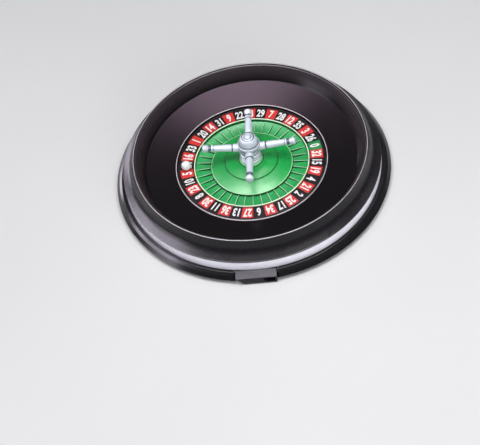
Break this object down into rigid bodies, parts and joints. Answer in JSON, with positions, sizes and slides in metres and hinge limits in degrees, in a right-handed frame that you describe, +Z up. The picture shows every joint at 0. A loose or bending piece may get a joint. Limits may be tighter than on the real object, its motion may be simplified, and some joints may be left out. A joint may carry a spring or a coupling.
{
  "type": "roulette wheel",
  "caption": "Round tabletop roulette wheel: a dished bowl with a ball track, a spinning rotor with numbered pockets, an armed turret and a loose ball.",
  "frame": {"origin": "on the table, in the middle of the foot pads, under the rotor's axis", "axes": "+Z up along the rotor's axis, -Y towards the front, +X to the right; a turret arm rests over each of +X, +Y, -X and -Y"},
  "size_m": [0.254, 0.254, 0.0511],
  "materials": {
    "black_gloss": "gloss",
    "black_satin": "satin",
    "tab_plastic": "satin",
    "rubber": "matte",
    "number_black": "satin",
    "cream": "satin",
    "green": "gloss",
    "pale_green": "gloss",
    "silver": "polished",
    "steel": "brushed",
    "brass": "satin",
    "nylon": "matte",
    "ball_white": "gloss"
  },
  "bodies": {
    "bowl": {"rim_shell": "black_gloss", "ball_track": "black_satin", "base_ring": "black_satin", "bottom_plate": "black_satin", "front_tab": "tab_plastic", "foot_pad_1": "rubber", "foot_pad_2": "rubber", "foot_pad_3": "rubber", "foot_pad_4": "rubber", "plate_screw_1": "steel", "plate_screw_2": "steel", "plate_screw_3": "steel", "plate_screw_4": "steel", "spindle": "steel", "thrust_washer": "nylon", "spindle_clip": "steel"},
    "rotor": {"rotor_disc": "black_satin", "number_ring": "number_black", "pocket_rail": "cream", "pocket_ring": "green", "rotor_cone": "green", "centre_disc": "green", "spindle_bush": "brass", "turret_collar": "pale_green", "turret_base": "silver", "turret_body": "silver", "turret_cap": "silver", "turret_finial": "silver", "turret_stud": "steel", "turret_nut": "steel", "arm_sleeve_right": "silver", "arm_rod_right": "silver", "arm_knob_right": "silver", "arm_sleeve_back": "silver", "arm_rod_back": "silver", "arm_knob_back": "silver", "arm_sleeve_left": "silver", "arm_rod_left": "silver", "arm_knob_left": "silver", "arm_sleeve_front": "silver", "arm_rod_front": "silver", "arm_knob_front": "silver"},
    "ball": {"ball": "ball_white"}
  },
  "joints": [
    {"name": "rotor_spin", "type": "hinge", "parent": "bowl", "child": "rotor", "pos_m": [0, 0, 0.01], "axis": [0, 0, 1], "continuous": true},
    {"name": "ball_lift", "type": "slide", "parent": "rotor", "child": "ball", "axis": [0, 0, 1], "range_m": [0, 0.06]}
  ]
}
